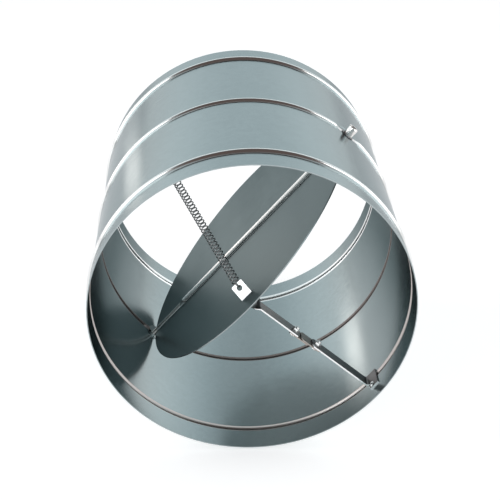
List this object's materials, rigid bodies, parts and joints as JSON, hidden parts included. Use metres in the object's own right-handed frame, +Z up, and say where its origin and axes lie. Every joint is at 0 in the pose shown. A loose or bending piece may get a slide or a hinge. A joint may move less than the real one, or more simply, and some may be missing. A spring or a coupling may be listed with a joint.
{
  "type": "round fire damper",
  "caption": "Round duct fire damper: beaded spigot casing with a butterfly blade that a fusible link holds open against a tension spring.",
  "frame": {"origin": "centre of the casing, where the axle crosses the duct's axis", "axes": "+Y along the duct away from the front opening, +Z up as the damper lies; the axle is tilted 50 degrees up from +X"},
  "size_m": [0.3189, 0.315, 0.319],
  "materials": {
    "casing": "galvanised sheet",
    "blade": "galvanised sheet",
    "bush": "turned, zinc plated",
    "spring_steel": "dark",
    "rod": "bright drawn",
    "tie": "galvanised strip",
    "link": "dull",
    "solder": "dull",
    "fastener": "bright zinc plated",
    "rivet": "satin",
    "bracket": "galvanised sheet",
    "spring": "drawn wire"
  },
  "bodies": {
    "casing": {"casing": "casing", "bush_right": "bush", "bush_left": "bush", "retaining_ring_right": "spring_steel", "retaining_ring_left": "spring_steel", "link_plate_wall_side": "link", "link_solder": "solder", "link_screw_wall_side": "fastener", "link_nut_wall_side": "fastener", "wall_tie": "tie", "wall_tie_rivet": "rivet", "blade_stop": "bracket", "spring_anchor": "bracket"},
    "blade": {"axle": "rod", "blade": "blade", "blade_tie": "tie", "link_plate_blade_side": "link", "link_screw_blade_side": "fastener", "link_nut_blade_side": "fastener"},
    "spring": {"spring": "spring"}
  },
  "joints": [
    {"name": "blade_hinge", "type": "hinge", "parent": "casing", "child": "blade", "pos_m": [0, 0, 0], "axis": [-0.6428, 0, -0.766], "range_deg": [0, 87.5], "deforming": ["spring"]},
    {"name": "spring_swing", "type": "hinge", "parent": "casing", "child": "spring", "pos_m": [-0.11302, 0.08753, 0.09483], "axis": [-0.6428, 0, -0.766], "range_deg": [0, 12.98]}
  ],
  "couplings": [
    {"joint": "spring_swing", "follows": "blade_hinge", "ratio": 0.1473}
  ]
}
